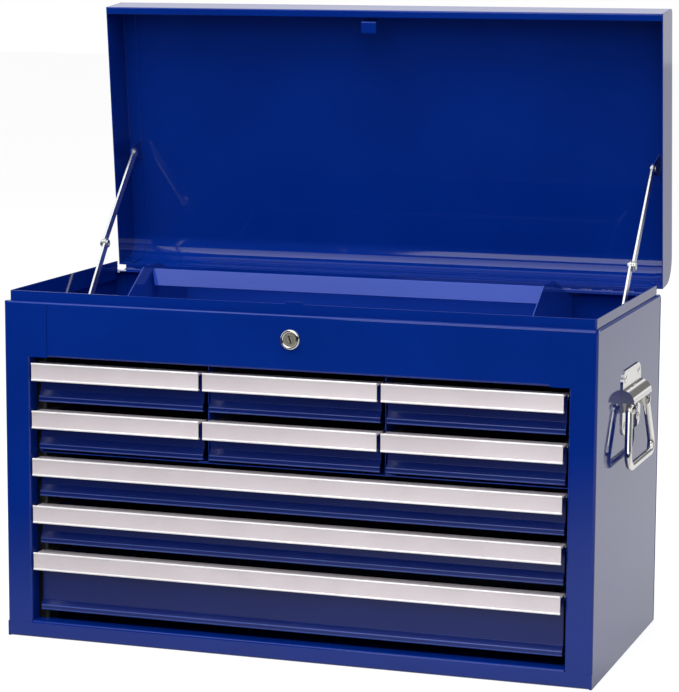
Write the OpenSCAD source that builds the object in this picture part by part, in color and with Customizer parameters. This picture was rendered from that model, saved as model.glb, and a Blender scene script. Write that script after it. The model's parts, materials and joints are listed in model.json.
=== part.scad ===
// Portable steel tool chest: nine drawers behind a framed front, a top compartment with a
// lift-out tray, a lid on a piano hinge with two folding stays, a lock in the top rail and
// a drop handle on each side.
// Origin: centre of the base, on the floor. +X is the right side, -Y the front, +Z up.
// The chest is drawn with its lid open and its drawers shut. All sizes are in millimetres.

/* [Cabinet] */
// Width over the side panels
body_w = 660; // [650:1:670]
// Depth from the stiles to the back panel
body_d = 306; // [304:1:312]
// Height of the ledge that the lid shuts on
body_h = 373; // [371:1:376]
// Thickness of the cabinet and lid sheet
sheet = 1.2; // [1.0:0.1:1.2]
// Inside radius of the folds in the cabinet sheet
fold_r = 1.8; // [1.2:0.1:1.8]
// Width of the stile on each side of the drawer opening
stile_w = 29.5; // [29:0.5:30]
// Height of the rail above the drawer opening
top_rail_h = 60; // [58:1:62]
// Height of the rail below the drawer opening
base_rail_h = 18.8; // [17:0.2:19]
// Height of the rim that stands up inside the lid
rim_h = 10.8; // [8:0.2:12]

/* [Drawers] */
// Distance from one row of pulls to the next
row_pitch = 52.5; // [52:0.1:53]
// Width of a small drawer's front
small_w = 192; // [188:1:193]
// Distance from one small drawer's centre to the next
column_pitch = 199; // [198:0.5:200]
// Height of a drawer's front, from the top of its pull
front_h = 45.2; // [42:0.2:46]
// Thickness of the drawer sheet
drawer_sheet = 1.0; // [0.8:0.1:1.0]
// How far the drawer fronts stand back from the stiles
front_setback = 17; // [16:0.5:18]
// Height of the aluminium pull's face
pull_h = 19.8; // [18:0.2:21]
// How far the pull's face stands out from the stiles
pull_out = 4.5; // [3:0.5:6]

/* [Lid] */
// Depth of the lid, from its mouth to its top
lid_depth = 50; // [48:1:54]
// Angle that the lid opens to
lid_open = 83.84; // [80:0.01:84]
// Inside radius of the fold along the lid's rear edge
lid_rear_r = 27; // [20:1:28]
// Number of knuckles in the piano hinge
knuckle_count = 53; // [41:2:55]

/* [Handles] */
// Diameter of the handle's rod
bail_d = 8; // [7:0.5:8.5]
// Radius of the handle mount's half-round housing
mount_r = 14; // [13.5:0.5:14.5]

/* [Lock] */
// Diameter of the lock's face
lock_d = 22; // [20:0.5:24]

/* [Tray] */
// Length of the lift-out tray, over its cheeks
tray_w = 466; // [440:2:480]

/* [Hidden] */

$fn = 48;
paint = "#0a2d8c";
paint_shade = "#081f66";
bright = "#d9d3d0";
zinc = "#b9bcc4";
shine = "#c9ccd2";

// Cabinet planes
side_x = body_w / 2;
front_y = -body_d / 2;
back_y = body_d / 2;
half = sheet / 2;
opening_x = side_x - stile_w;
opening_top = body_h - top_rail_h;
return_depth = 18;
stile_foot = base_rail_h - 2;
ear_w = 20.5;
ear_top = body_h - 3.4;
rear_flange = 15;
floor_top = opening_top + 2 * sheet;
rim_side = 3.6;
rim_front = 7.2;
slit = 0.1;
// Where sheet that lies inside the side panels ends, clear of their folds
inside_x = side_x - sheet - fold_r;

// Drawer rows and columns
drawer_half = drawer_sheet / 2;
pull_gap = 6;
box_drop = 7;
full_w = small_w + 2 * column_pitch;
lip_w = 12.9;
box_inset = 12;
rail_gap = 2.9;
drawer_rear = back_y - 22;
bottom_clear = 9.9;
box_r = 1;
// Thickness of the aluminium pull's web
web_t = 1.4;

function pull_top(row) = opening_top - pull_gap - (row - 1) * row_pitch;
function front_bottom(row) = row == 5 ? base_rail_h + bottom_clear : pull_top(row) - front_h;

// Hinge and lid, in the shut position
hinge_y = back_y + 6.5;
hinge_z = body_h - 2;
mouth_z = body_h + 0.8;
lid_front = front_y - 1.8;
lid_rear = back_y + 0.2;
lid_top = mouth_z + lid_depth;
lid_front_r = 5;
knuckle_r = 3;
pin_r = 1.5;
run_clear = 0.05;

// Stays: pivots with the lid open, and the planes that the links move in
stay_foot = [front_y + 163.7, body_h - 47];
stay_elbow = [front_y + 233.1, body_h + 39];
stay_head = [front_y + 324.6, body_h + 138];
link_w = 10;
link_t = 2.4;
link_gap = 0.2;
lower_link_x = side_x - 20.2;
upper_link_x = lower_link_x + link_t + link_gap;
lid_tab_x = upper_link_x + link_t + link_gap;
stud_r = 2.5;

// Handles
handle_y = front_y + 156.5;
mount_len = 88;
mount_low = body_h - 128;
mount_high = body_h - 59;
housing_z = body_h - 92;
pivot_out = 8;
pivot_z = body_h - 99;
bail_drop = 60;
bail_lean = 4;

// Lock
lock_z = body_h - 26;
plug_r = 7;
barrel_r = 9;
rail_face = front_y + sheet;

// Tray
tray_front = front_y + 80;
tray_rear = front_y + 288;
tray_z = floor_top + 0.3;
tray_t = 1;

// ---- Sheet metal outlines ----

function unit(v) = v / norm(v);
function left_of(v) = [-v[1], v[0]];
function reversed(v) = [for (i = [len(v) - 1:-1:0]) v[i]];

// Points of the arc that rounds corner b between a and c. mid_r is the arc's radius along
// the corner's own line, and shift moves the arc to the left of it.
function corner_arc(a, b, c, shift, mid_r, steps) =
    let (d1 = unit(b - a), d2 = unit(c - b))
    let (turn = atan2(cross(d1, d2), d1 * d2), way = sign(turn))
    let (centre = b - d1 * mid_r * tan(abs(turn) / 2) + left_of(d1) * way * mid_r)
    let (start = atan2(-left_of(d1)[1] * way, -left_of(d1)[0] * way))
    [for (k = [0:steps])
        centre + (mid_r - way * shift) * [cos(start + turn * k / steps), sin(start + turn * k / steps)]];

// One side of a folded sheet whose middle follows pts; radii are inside radii, one a fold.
function sheet_side(pts, shift, radii, t, steps) =
    let (n = len(pts))
    concat(
        [pts[0] + left_of(unit(pts[1] - pts[0])) * shift],
        [for (i = [1:1:n - 2])
            each corner_arc(pts[i - 1], pts[i], pts[i + 1], shift,
                            (is_list(radii) ? radii[i - 1] : radii) + t / 2, steps)],
        [pts[n - 1] + left_of(unit(pts[n - 1] - pts[n - 2])) * shift]
    );

// Cross-section of a folded sheet
module folded(pts, t = sheet, radii = fold_r, steps = 4) {
    polygon(concat(sheet_side(pts, t / 2, radii, t, steps),
                   reversed(sheet_side(pts, -t / 2, radii, t, steps))));
}

// Closed outline with every corner rounded
module rounded(pts, r, steps = 6) {
    n = len(pts);
    polygon([for (i = [0:n - 1])
        each corner_arc(pts[(i + n - 1) % n], pts[i], pts[(i + 1) % n], 0, r, steps)]);
}

// Extrusions of a flat outline: (Y, Z) along X, and (X, Z) along Y
module along_x(x0, x1) {
    translate([x0, 0, 0])
        rotate([90, 0, 90])
            linear_extrude(x1 - x0)
                children();
}

module along_y(y0, y1) {
    translate([0, y1, 0])
        rotate([90, 0, 0])
            linear_extrude(y1 - y0)
                children();
}

module along_z(z0, z1) {
    translate([0, 0, z0])
        linear_extrude(z1 - z0)
            children();
}

// Box between two corners
module block(low, high) {
    translate(low)
        cube(high - low);
}

// Round bar along X from x0 to x1, centred on (y, z)
module bar_x(x0, x1, at, r) {
    translate([x0, at[0], at[1]])
        rotate([0, 90, 0])
            cylinder(r = r, h = x1 - x0);
}

// Round bar along Y from y0 to y1, centred on (x, z)
module bar_y(y0, y1, at, r) {
    translate([at[0], y1, at[1]])
        rotate([90, 0, 0])
            cylinder(r = r, h = y1 - y0);
}

// Puts the left copy of a right-hand piece in place
module on_left() {
    mirror([1, 0, 0])
        children();
}

// Swings a piece of the shut lid to the open position
module lid_swing() {
    translate([0, hinge_y, hinge_z])
        rotate([-lid_open, 0, 0])
            translate([0, -hinge_y, -hinge_z])
                children();
}

// Where a point of the open lid's (Y, Z) plane lies with the lid shut
function lid_shut(p) =
    let (d = p - [hinge_y, hinge_z])
    [hinge_y + d[0] * cos(lid_open) - d[1] * sin(lid_open),
     hinge_z + d[0] * sin(lid_open) + d[1] * cos(lid_open)];

// ---- Cabinet ----

// Right side panel: stile with its return, ear beside the top rail, side, rear flange, ledge
module side_panel() {
    side_mid = side_x - half;
    stile_mid = front_y + half;
    rear_mid = back_y - sheet - half;
    rear_end = [side_x - rear_flange, rear_mid];
    fold_end = front_y + sheet + fold_r;
    ledge_front = front_y + rim_front;
    color(paint)
        difference() {
            union() {
                along_z(0, stile_foot)
                    folded([[side_mid, front_y + sheet + slit], [side_mid, rear_mid], rear_end]);
                along_z(stile_foot, opening_top - slit)
                    folded([[opening_x + half, front_y + return_depth], [opening_x + half, stile_mid],
                            [side_mid, stile_mid], [side_mid, rear_mid], rear_end]);
                along_z(opening_top - slit, ear_top)
                    folded([[opening_x - ear_w, stile_mid], [side_mid, stile_mid],
                            [side_mid, rear_mid], rear_end]);
                along_y(ledge_front, back_y - sheet)
                    folded([[side_mid, ear_top], [side_mid, body_h - half],
                            [side_x - rim_side, body_h - half]]);
                along_z(ear_top, body_h)
                    polygon([[inside_x + slit, rail_face], [side_x - half, rail_face],
                             [side_x, fold_end], [side_x, ledge_front],
                             [inside_x + slit, ledge_front]]);
            }
            rivet_holes();
        }
}

module side_left() {
    on_left()
        side_panel();
}

module side_right() {
    side_panel();
}

module back_panel() {
    flange_end = side_x - rim_side - sheet - slit;
    color(paint) {
        block([-side_x, back_y - sheet, 0], [side_x, back_y, ear_top]);
        along_x(-flange_end, flange_end)
            folded([[back_y - half, ear_top], [back_y - half, body_h - half],
                    [back_y - rear_flange, body_h - half]]);
    }
}

// Floor pan; its front is the base rail, full width below the stiles
module bottom_pan() {
    rear_mid = back_y - 2 * sheet - half - slit;
    rear_top = 14;
    rail_end = opening_x - slit;
    color(paint) {
        along_x(-rail_end, rail_end)
            folded([[front_y + return_depth, base_rail_h - half],
                    [front_y + half, base_rail_h - half], [front_y + half, half],
                    [rear_mid, half], [rear_mid, rear_top]]);
        for (x = [-inside_x, rail_end])
            along_x(x, x + inside_x - rail_end)
                folded([[front_y + half, stile_foot - slit], [front_y + half, half],
                        [rear_mid, half], [rear_mid, rear_top]]);
        for (x = [-side_x, inside_x])
            block([x, front_y, 0], [x + side_x - inside_x, rail_face, stile_foot - slit]);
    }
}

module top_rail() {
    face_mid = rail_face + half;
    color(paint)
        difference() {
            along_x(-inside_x, inside_x)
                folded([[front_y + return_depth, opening_top + half], [face_mid, opening_top + half],
                        [face_mid, body_h - half], [front_y + rim_front, body_h - half]]);
            bar_y(front_y, front_y + return_depth, [0, lock_z], barrel_r + run_clear);
        }
}

// Rim that the lid shuts over: front and both sides, with a tongue above the lock
module rim() {
    rim_x = side_x - rim_side - half;
    rim_y = front_y + rim_front + half;
    rim_low = body_h - 11;
    rim_end = back_y - rim_front;
    tongue_x = 2;
    tongue_w = 20;
    tongue_h = 2.5;
    color(paint) {
        along_z(rim_low, body_h + rim_h)
            folded([[-rim_x, rim_end], [-rim_x, rim_y], [rim_x, rim_y], [rim_x, rim_end]]);
        block([tongue_x - tongue_w / 2, rim_y - half, body_h + rim_h],
              [tongue_x + tongue_w / 2, rim_y + half, body_h + rim_h + tongue_h]);
    }
}

module compartment_floor() {
    front_mid = rail_face + sheet + half + slit;
    rear_mid = back_y - 2 * sheet - half - slit;
    turn_up = 14;
    plate_mid = floor_top - half;
    color(paint_shade)
        along_x(-inside_x, inside_x)
            folded([[front_mid, plate_mid + turn_up], [front_mid, plate_mid],
                    [rear_mid, plate_mid], [rear_mid, plate_mid + turn_up]]);
}

// ---- Drawer frame inside the cabinet ----

inner_front = front_y + return_depth + 2;
inner_rear = back_y - 2 * sheet - 4;
post_face = full_w / 2 + rail_gap;
shelf_z = front_bottom(2) - 4.9;

// Shelf between the small and the full-width drawers, turned up against the posts
module shelf() {
    turn_up = 12;
    color(paint_shade)
        along_y(inner_front, inner_rear)
            folded([[-post_face + half, shelf_z + turn_up], [-post_face + half, shelf_z + half],
                    [post_face - half, shelf_z + half], [post_face - half, shelf_z + turn_up]]);
}

// Upright between two columns of small drawers
module partition() {
    flange = 12;
    mid_x = column_pitch / 2;
    top_mid = opening_top + half;
    foot_mid = shelf_z + sheet + half;
    color(paint_shade)
        along_y(inner_front, inner_rear)
            folded([[mid_x + flange, top_mid], [mid_x, top_mid],
                    [mid_x, foot_mid], [mid_x + flange, foot_mid]]);
}

module partition_left() {
    on_left()
        partition();
}

module partition_right() {
    partition();
}

// Four hat-section posts that carry the drawer rails
module slide_posts() {
    wall_mid = side_x - sheet - half;
    crown_mid = post_face + half;
    crown = 12;
    brim = 22;
    inset = 50;
    color(zinc)
        for (side = [0, 1], y = [front_y + inset, back_y - inset])
            mirror([side, 0, 0])
                along_z(sheet, floor_top - sheet)
                    translate([0, y])
                        folded([[wall_mid, -brim], [wall_mid, -crown], [crown_mid, -crown],
                                [crown_mid, crown], [wall_mid, crown], [wall_mid, brim]]);
}

// Pair of channels that a drawer's lips run in
module rail_pair(row, x, w) {
    box_top = pull_top(row) - box_drop;
    web_mid = w / 2 + rail_gap - drawer_half;
    leg_end = w / 2 - 8;
    lip_clear = 0.8;
    lift = lip_clear + drawer_half;
    channel_r = 0.4;
    color(zinc)
        for (side = [0, 1])
            translate([x, 0, 0])
                mirror([side, 0, 0])
                    along_y(inner_front, inner_rear)
                        folded([[leg_end, box_top + lift], [web_mid, box_top + lift],
                                [web_mid, box_top - drawer_sheet - lift],
                                [leg_end, box_top - drawer_sheet - lift]],
                               drawer_sheet, channel_r);
}

module rails_small(row) {
    for (column = [-1, 0, 1])
        rail_pair(row, column * column_pitch, small_w);
}

module rails_full(row) {
    rail_pair(row, 0, full_w);
}

// ---- Drawers ----

// Drawer body: sides and floor folded from one sheet, back, and the front with its stepped hem
module drawer(row, x, w) {
    top = pull_top(row);
    bottom = front_bottom(row);
    box_top = top - box_drop;
    floor_mid = bottom + drawer_half;
    side_mid = w / 2 - box_inset - drawer_half;
    lip_end = side_mid + lip_w;
    front_mid = front_y + front_setback + drawer_half;
    hem_out = 5;
    hem_high = row == 5 ? 10.8 : 12.9;
    hem_low = 5.7;
    floor_lap = 10;
    fillet_clear = 0.6;
    color(paint_shade)
        translate([x, 0, 0]) {
            along_y(front_mid, drawer_rear)
                folded([[lip_end, box_top - drawer_half], [side_mid, box_top - drawer_half],
                        [side_mid, floor_mid], [-side_mid, floor_mid],
                        [-side_mid, box_top - drawer_half], [-lip_end, box_top - drawer_half]],
                       drawer_sheet, box_r);
            block([-side_mid, drawer_rear - drawer_sheet, bottom],
                  [side_mid, drawer_rear, box_top]);
            along_x(-w / 2, w / 2)
                folded([[front_mid, top - web_t - fillet_clear], [front_mid, bottom + hem_high],
                        [front_mid - hem_out, bottom + hem_low], [front_mid - hem_out, floor_mid],
                        [front_mid + floor_lap, floor_mid]],
                       drawer_sheet, box_r);
        }
}

// Extruded aluminium pull: grips the front's top edge, reaches forward and turns down
module pull(row, x, w) {
    top = pull_top(row);
    mid = web_t / 2;
    over = 1.2;
    grip = 6.4;
    inner_r = 0.5;
    face_mid = front_y - pull_out + mid;
    rear_mid = front_y + front_setback + drawer_sheet + mid;
    hook = 4.4;
    bead_r = 0.9;
    end_x = w / 2 + over;
    color(bright)
        translate([x, 0, 0]) {
            along_x(-end_x, end_x)
                folded([[rear_mid, top - grip], [rear_mid, top - mid], [face_mid, top - mid],
                        [face_mid, top - pull_h + mid], [face_mid + hook, top - pull_h + mid]],
                       web_t, inner_r);
            for (z = [top - bead_r, top - pull_h + bead_r])
                bar_x(-end_x, end_x, [face_mid, z], bead_r);
        }
}

// ---- Lid ----

lid_hem = 8;
lid_hem_r = 0.6;
lid_path = [[lid_front + lid_hem, mouth_z + half], [lid_front + half, mouth_z + half],
            [lid_front + half, lid_top - half], [lid_rear - half, lid_top - half],
            [lid_rear - half, mouth_z]];
lid_radii = [lid_hem_r, lid_front_r, lid_rear_r];
lid_steps = 9;

module lid_shell() {
    color(paint)
        lid_swing()
            along_x(-side_x + sheet, side_x - sheet)
                folded(lid_path, sheet, lid_radii, lid_steps);
}

// Right end of the lid: a plate, a flange lapped inside the shell, and the tab that the stay
// is riveted to
module lid_end() {
    lap = 15;
    lift = 2;
    tab_r = 7.5;
    tab_root = 12;
    pivot = lid_shut(stay_head);
    cap_path = [[lid_front + half, mouth_z], [lid_front + half, lid_top - half],
                [lid_rear - half, lid_top - half], [lid_rear - half, mouth_z]];
    lap_mid = half + sheet;
    lap_path = [[lid_front + lap_mid, mouth_z + lift], [lid_front + lap_mid, lid_top - lap_mid],
                [lid_rear - lap_mid, lid_top - lap_mid], [lid_rear - lap_mid, mouth_z + lift]];
    tab_top = lid_top - lap_mid;
    color(paint)
        lid_swing()
            difference() {
                union() {
                    along_x(side_x - sheet, side_x)
                        polygon(sheet_side(cap_path, half, [lid_front_r, lid_rear_r], sheet,
                                           lid_steps));
                    along_x(side_x - sheet - lap, side_x - sheet)
                        folded(lap_path, sheet, [lid_front_r - sheet, lid_rear_r - sheet],
                               lid_steps);
                    along_x(lid_tab_x, lid_tab_x + sheet)
                        polygon([[pivot[0] - tab_root, tab_top], [pivot[0] - tab_r, pivot[1]],
                                 [pivot[0] + tab_r, pivot[1]], [pivot[0] + tab_root, tab_top]]);
                    bar_x(lid_tab_x, lid_tab_x + sheet, pivot, tab_r);
                }
                bar_x(lid_tab_x - sheet, lid_tab_x + 2 * sheet, pivot, stud_r + run_clear);
            }
}

module lid_end_left() {
    on_left()
        lid_end();
}

module lid_end_right() {
    lid_end();
}

// Folded striker inside the lid's front wall; its foot goes under the lock's hook
module lid_striker() {
    left_x = -16.7;
    right_x = 0.8;
    wall_mid = lid_front + sheet + half;
    wall_h = 12;
    step_mid = mouth_z + 13.6;
    drop_mid = front_y + 11.6;
    foot_l = 12.6;
    inner_r = 0.8;
    color(paint)
        lid_swing()
            along_x(left_x, right_x)
                folded([[wall_mid, step_mid + wall_h], [wall_mid, step_mid], [drop_mid, step_mid],
                        [drop_mid, mouth_z + half], [drop_mid + foot_l, mouth_z + half]],
                       sheet, inner_r);
}

// ---- Hinge ----

hinge_len = body_w - 18;
knuckle_pitch = hinge_len / knuckle_count;
knuckle_gap = 0.5;
leaf_t = 1.2;
leaf_h = 17;
// Where a leaf's web ends under or over the knuckles, and how far their tongues run into it
leaf_end = hinge_y - knuckle_r + 0.35;
tongue_lap = 0.1;

// Knuckles number first, first + 2 and so on, with tongues to the leaf below or above them
module knuckles(first, tongue_low, tongue_high) {
    difference() {
        for (i = [first:2:knuckle_count - 1]) {
            x = -hinge_len / 2 + i * knuckle_pitch + knuckle_gap / 2;
            bar_x(x, x + knuckle_pitch - knuckle_gap, [hinge_y, hinge_z], knuckle_r);
            block([x, leaf_end - tongue_lap, tongue_low],
                  [x + knuckle_pitch - knuckle_gap, hinge_y, tongue_high]);
        }
        bar_x(-side_x, side_x, [hinge_y, hinge_z], pin_r + run_clear);
    }
}

module hinge_leaf_cabinet() {
    web_low = hinge_z - knuckle_r;
    color(paint_shade) {
        knuckles(0, web_low, web_low + leaf_t);
        block([-hinge_len / 2, back_y, web_low - leaf_h],
              [hinge_len / 2, back_y + leaf_t, web_low + leaf_t]);
        block([-hinge_len / 2, back_y, web_low], [hinge_len / 2, leaf_end, web_low + leaf_t]);
    }
}

module hinge_leaf_lid() {
    web_top = hinge_z + knuckle_r;
    color(paint_shade)
        lid_swing() {
            knuckles(1, web_top - leaf_t, web_top);
            block([-hinge_len / 2, lid_rear, web_top - leaf_t],
                  [hinge_len / 2, lid_rear + leaf_t, web_top + leaf_h]);
            block([-hinge_len / 2, lid_rear, web_top - leaf_t],
                  [hinge_len / 2, leaf_end, web_top]);
        }
}

module hinge_pin() {
    color(zinc)
        bar_x(-hinge_len / 2 - 2, hinge_len / 2 + 2, [hinge_y, hinge_z], pin_r);
}

// ---- Stays ----

// Flat link from pivot a to elbow b, with a rivet head at the elbow on its free side
module stay_link(a, b, x, head_side) {
    across = left_of(unit(b - a)) * link_w / 2;
    eye_r = link_w / 2 + 0.8;
    head_t = 2;
    head_r = 4.6;
    dimple_r = 2.3;
    dimple = 1.1;
    head_x = head_side > 0 ? x + link_t : x - head_t;
    dimple_x = head_side > 0 ? head_x + head_t - dimple : head_x - dimple;
    color(zinc) {
        along_x(x, x + link_t)
            difference() {
                union() {
                    polygon([a + across, b + across, b - across, a - across]);
                    for (p = [a, b])
                        translate(p)
                            circle(r = eye_r);
                }
                translate(a)
                    circle(r = stud_r + run_clear);
            }
        difference() {
            bar_x(head_x, head_x + head_t, b, head_r);
            bar_x(dimple_x, dimple_x + 2 * dimple, b, dimple_r);
        }
    }
}

stud_shoulder = 0.1;

// Head of a stud on the inner side of the link at x, and its pin as far as pin_end
module stud_head(at, x, pin_end) {
    head_r = 4;
    head_t = 1.2;
    bar_x(x - stud_shoulder - head_t / 2, pin_end, at, stud_r);
    bar_x(x - stud_shoulder - head_t, x - stud_shoulder, at, head_r);
}

// Studs that hold the lower links off the cabinet's sides, each with a long spacer
module stay_studs_cabinet() {
    spacer_r = 4.5;
    spacer_x = lower_link_x + link_t + stud_shoulder;
    color(zinc)
        for (side = [0, 1])
            mirror([side, 0, 0]) {
                stud_head(stay_foot, lower_link_x, spacer_x + stud_shoulder);
                bar_x(spacer_x, side_x - sheet, stay_foot, spacer_r);
            }
}

// Short rivets that hold the upper links to the tabs of the lid's ends
module stay_studs_lid() {
    tail_r = 3.8;
    tail_t = 1.2;
    tail_x = lid_tab_x + sheet;
    color(zinc)
        for (side = [0, 1])
            mirror([side, 0, 0]) {
                stud_head(stay_head, upper_link_x, tail_x + tail_t / 2);
                bar_x(tail_x, tail_x + tail_t, stay_head, tail_r);
            }
}

module stay_lower_right() {
    stay_link(stay_foot, stay_elbow, lower_link_x, -1);
}

module stay_lower_left() {
    on_left()
        stay_lower_right();
}

module stay_upper_right() {
    stay_link(stay_head, stay_elbow, upper_link_x, 1);
}

module stay_upper_left() {
    on_left()
        stay_upper_right();
}

// ---- Handles ----

rivet_r = 2.4;
plate_t = 1.6;
rivet_span = 33;
ear_near = 32.5;
ear_t = 2.8;

module rivet_spots() {
    low_z = mount_low + 10;
    high_z = mount_high - 9;
    for (y = [-rivet_span, rivet_span], z = [low_z, high_z])
        translate([side_x, handle_y + y, z])
            children();
}

module rivet_holes() {
    rivet_spots()
        rotate([0, 90, 0])
            cylinder(r = rivet_r + run_clear, h = 12, center = true);
}

// Pressed plate with a closed quarter-round housing and two ears for the rod's ends
module handle_plate() {
    pivot_x = side_x + pivot_out;
    low_y = handle_y - mount_len / 2;
    high_y = handle_y + mount_len / 2;
    ear_r = 6.8;
    ear_low = pivot_z - ear_r;
    ear_root = side_x + plate_t / 2;
    plate_r = 13;
    color(shine)
        difference() {
            union() {
                along_x(side_x, side_x + plate_t)
                    rounded([[low_y, mount_low], [high_y, mount_low], [high_y, mount_high],
                             [low_y, mount_high]], plate_r);
                along_y(low_y, high_y)
                    intersection() {
                        translate([side_x, housing_z])
                            difference() {
                                circle(r = mount_r);
                                circle(r = mount_r - plate_t);
                            }
                        translate([side_x, housing_z])
                            square(mount_r + 1);
                    }
                for (y = [low_y, high_y - plate_t])
                    along_y(y, y + plate_t)
                        translate([side_x, housing_z])
                            intersection() {
                                circle(r = mount_r - plate_t / 2);
                                square(mount_r);
                            }
                for (side = [-1, 1])
                    along_y(handle_y + side * (ear_near + ear_t / 2) - ear_t / 2,
                            handle_y + side * (ear_near + ear_t / 2) + ear_t / 2) {
                        translate([pivot_x, pivot_z])
                            circle(r = ear_r);
                        polygon([[ear_root, ear_low + 3], [pivot_x, ear_low],
                                 [pivot_x + 5, housing_z + 2], [ear_root, housing_z + 4]]);
                    }
            }
            rivet_holes();
            bar_y(low_y, high_y, [pivot_x, pivot_z], bail_d / 2 + 0.08);
        }
}

module handle_plate_left() {
    on_left()
        handle_plate();
}

module handle_plate_right() {
    handle_plate();
}

// Straight rod between two points of the YZ plane
module rod(a, b) {
    span = b - a;
    translate([0, a[0], a[1]])
        rotate([-90 + atan2(span[1], span[0]), 0, 0])
            cylinder(d = bail_d, h = norm(span));
}

// Quarter of a ring in the YZ plane: from the angle start, counted from straight down
// towards +Y, on through sweep
module rod_bend(centre, r, start, sweep) {
    translate([0, centre[0], centre[1]])
        rotate([0, 90, 0])
            rotate([0, 0, start])
                rotate_extrude(angle = sweep)
                    translate([r, 0])
                        circle(d = bail_d, $fn = 32);
}

// Slight swelling that blends a straight length of rod into a bend
module rod_joint(at) {
    translate([0, at[0], at[1]])
        sphere(d = bail_d + 0.3);
}

// Drop handle: pins in the ears, splayed legs, rounded corners and grip bar
module handle_bail() {
    splay = 18;
    corner_r = 12;
    shoulder_r = 5;
    pin_end = ear_near - 2.5;
    shoulder_y = 38;
    leg_top = [shoulder_y + shoulder_r * cos(splay), -shoulder_r + shoulder_r * sin(splay)];
    arc_z = -bail_drop + corner_r;
    meet_z = arc_z + corner_r * sin(splay);
    meet_y = leg_top[0] + (leg_top[1] - meet_z) * tan(splay);
    arc_y = meet_y - corner_r * cos(splay);
    color(shine)
        translate([side_x + pivot_out, handle_y, pivot_z])
            rotate([0, -bail_lean, 0]) {
                rod([-arc_y, -bail_drop], [arc_y, -bail_drop]);
                for (side = [0, 1])
                    mirror([0, side, 0]) {
                        rod([pin_end, 0], [shoulder_y, 0]);
                        rod_bend([shoulder_y, -shoulder_r], shoulder_r, 90 + splay, 90 - splay);
                        rod(leg_top, [meet_y, meet_z]);
                        rod_bend([arc_y, arc_z], corner_r, 0, 90 + splay);
                        for (at = [[shoulder_y, 0], leg_top, [meet_y, meet_z], [arc_y, -bail_drop]])
                            rod_joint(at);
                    }
            }
}

module handle_bail_left() {
    on_left()
        handle_bail();
}

module handle_bail_right() {
    handle_bail();
}

module handle_rivets() {
    head_r = 4.4;
    head_top_r = 2.8;
    tail_r = 3.8;
    head_t = 1.8;
    grip = plate_t + sheet;
    color(shine)
        for (side = [0, 1])
            mirror([side, 0, 0])
                rivet_spots()
                    rotate([0, 90, 0]) {
                        translate([0, 0, -sheet])
                            cylinder(r = rivet_r, h = grip);
                        translate([0, 0, plate_t])
                            cylinder(r1 = head_r, r2 = head_top_r, h = head_t);
                        translate([0, 0, -sheet - head_t])
                            cylinder(r = tail_r, h = head_t);
                    }
}

// ---- Lock ----

plug_bore = plug_r + run_clear;
barrel_rear = front_y + 14;
cam_front = front_y + 15.2;

module lock_barrel() {
    flange_t = 2.4;
    color(shine)
        difference() {
            union() {
                bar_y(rail_face - flange_t, rail_face, [0, lock_z], lock_d / 2);
                bar_y(rail_face - flange_t, barrel_rear, [0, lock_z], barrel_r);
            }
            bar_y(rail_face - flange_t - 1, barrel_rear + 1, [0, lock_z], plug_bore);
        }
}

module lock_nut() {
    nut_t = 4;
    nut_front = rail_face + sheet;
    color(zinc)
        difference() {
            along_y(nut_front, nut_front + nut_t)
                translate([0, lock_z])
                    circle(r = 12.4, $fn = 6);
            bar_y(nut_front - 1, nut_front + nut_t + 1, [0, lock_z], barrel_r + run_clear);
        }
}

// Key plug with its slot, and the square that carries the cam
module lock_plug() {
    face = rail_face - 1.8;
    slot_w = 1.6;
    slot_l = 8.4;
    slot_tilt = -18;
    slot_depth = 16;
    square_w = 7;
    square_l = 4.4;
    color(zinc)
        difference() {
            union() {
                bar_y(face, cam_front, [0, lock_z], plug_r);
                block([-square_w / 2, cam_front, lock_z - square_w / 2],
                      [square_w / 2, cam_front + square_l, lock_z + square_w / 2]);
            }
            translate([0, face, lock_z])
                rotate([0, slot_tilt, 0])
                    cube([slot_w, slot_depth, slot_l], center = true);
        }
}

// Hooked cam: shown unlocked, lying to the right; a quarter turn brings its hook over the striker
module lock_cam() {
    hole_w = 7.1;
    cam_t = 2.4;
    hub_r = 9;
    arm_low = -8;
    arm_w = 6;
    reach = 34;
    hook_w = 4.8;
    hook_h = 17;
    plate_y = cam_front + 0.2;
    color(zinc)
        translate([0, 0, lock_z])
            along_y(plate_y, plate_y + cam_t)
                difference() {
                    union() {
                        circle(r = hub_r);
                        translate([0, arm_low])
                            square([reach, arm_w]);
                        translate([reach - hook_w, arm_low])
                            square([hook_w, hook_h]);
                    }
                    square(hole_w, center = true);
                }
}

// ---- Tray ----

// Tray trough, and cheeks that rise to carry the handle
module tray() {
    cheek_top = body_h + 23;
    front_top = body_h - 24;
    rear_top = body_h - 7;
    end_x = tray_w / 2;
    mid = tray_t / 2;
    hem = 6;
    inner_r = 1;
    cheek_front = front_y + 159;
    cheek_rear = front_y + 205;
    corner_r = 2.4;
    color(paint_shade) {
        along_x(-end_x + tray_t, end_x - tray_t)
            folded([[tray_front + hem, front_top - mid], [tray_front + mid, front_top - mid],
                    [tray_front + mid, tray_z + mid], [tray_rear - mid, tray_z + mid],
                    [tray_rear - mid, rear_top - mid], [tray_rear - hem, rear_top - mid]],
                   tray_t, inner_r);
        for (x = [-end_x, end_x - tray_t])
            along_x(x, x + tray_t)
                rounded([[tray_front, tray_z], [tray_rear, tray_z], [tray_rear, rear_top],
                         [cheek_rear, cheek_top], [cheek_front, cheek_top],
                         [tray_front, front_top]], corner_r);
    }
}

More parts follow.
